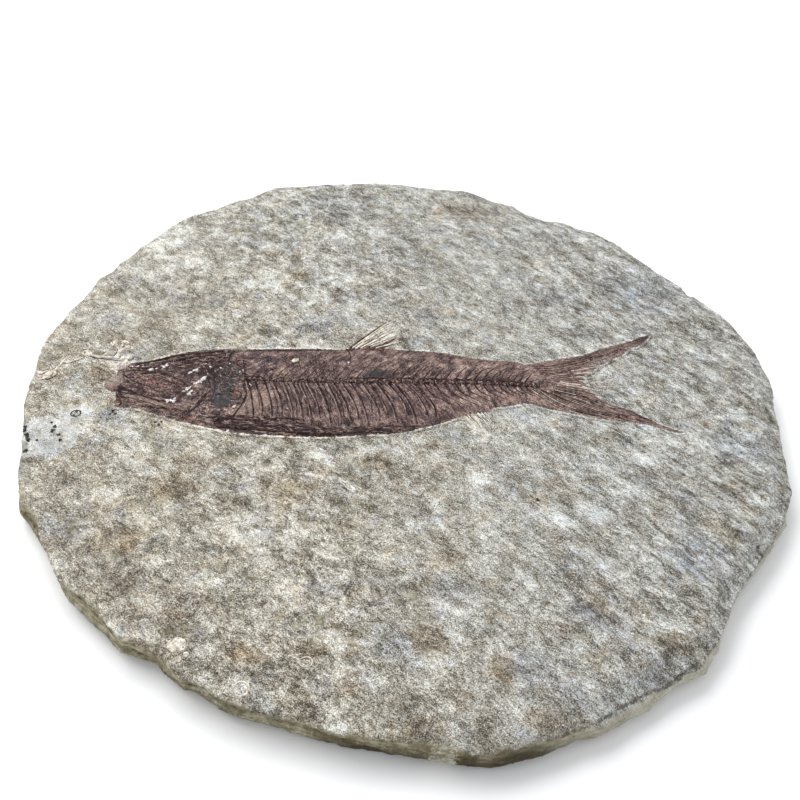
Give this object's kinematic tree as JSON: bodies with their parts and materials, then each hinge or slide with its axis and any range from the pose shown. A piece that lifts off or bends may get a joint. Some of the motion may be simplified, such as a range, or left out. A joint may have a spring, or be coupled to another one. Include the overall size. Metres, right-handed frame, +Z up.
{
  "type": "fossil fish slab",
  "caption": "Round chipped limestone slab with a flat brown fossil herring, its skull, ribs and fins showing, bedded in the split face.",
  "frame": {"origin": "middle of the slab's bounding box, on the flat underside that it rests on", "axes": "+Z up out of the split face that shows the fish; +X along the fish from its snout to its tail; +Y towards its back"},
  "size_m": [0.1724, 0.1732, 0.0074],
  "materials": {
    "limestone": "split face, matt and fine-grained, mottled grey and cream, with an olive-beige broken edge",
    "fossil": "thin brown carbon film with dark and pale bones, faintly satin"
  },
  "bodies": {
    "root": {"slab": "limestone", "fish": "fossil"}
  },
  "joints": []
}
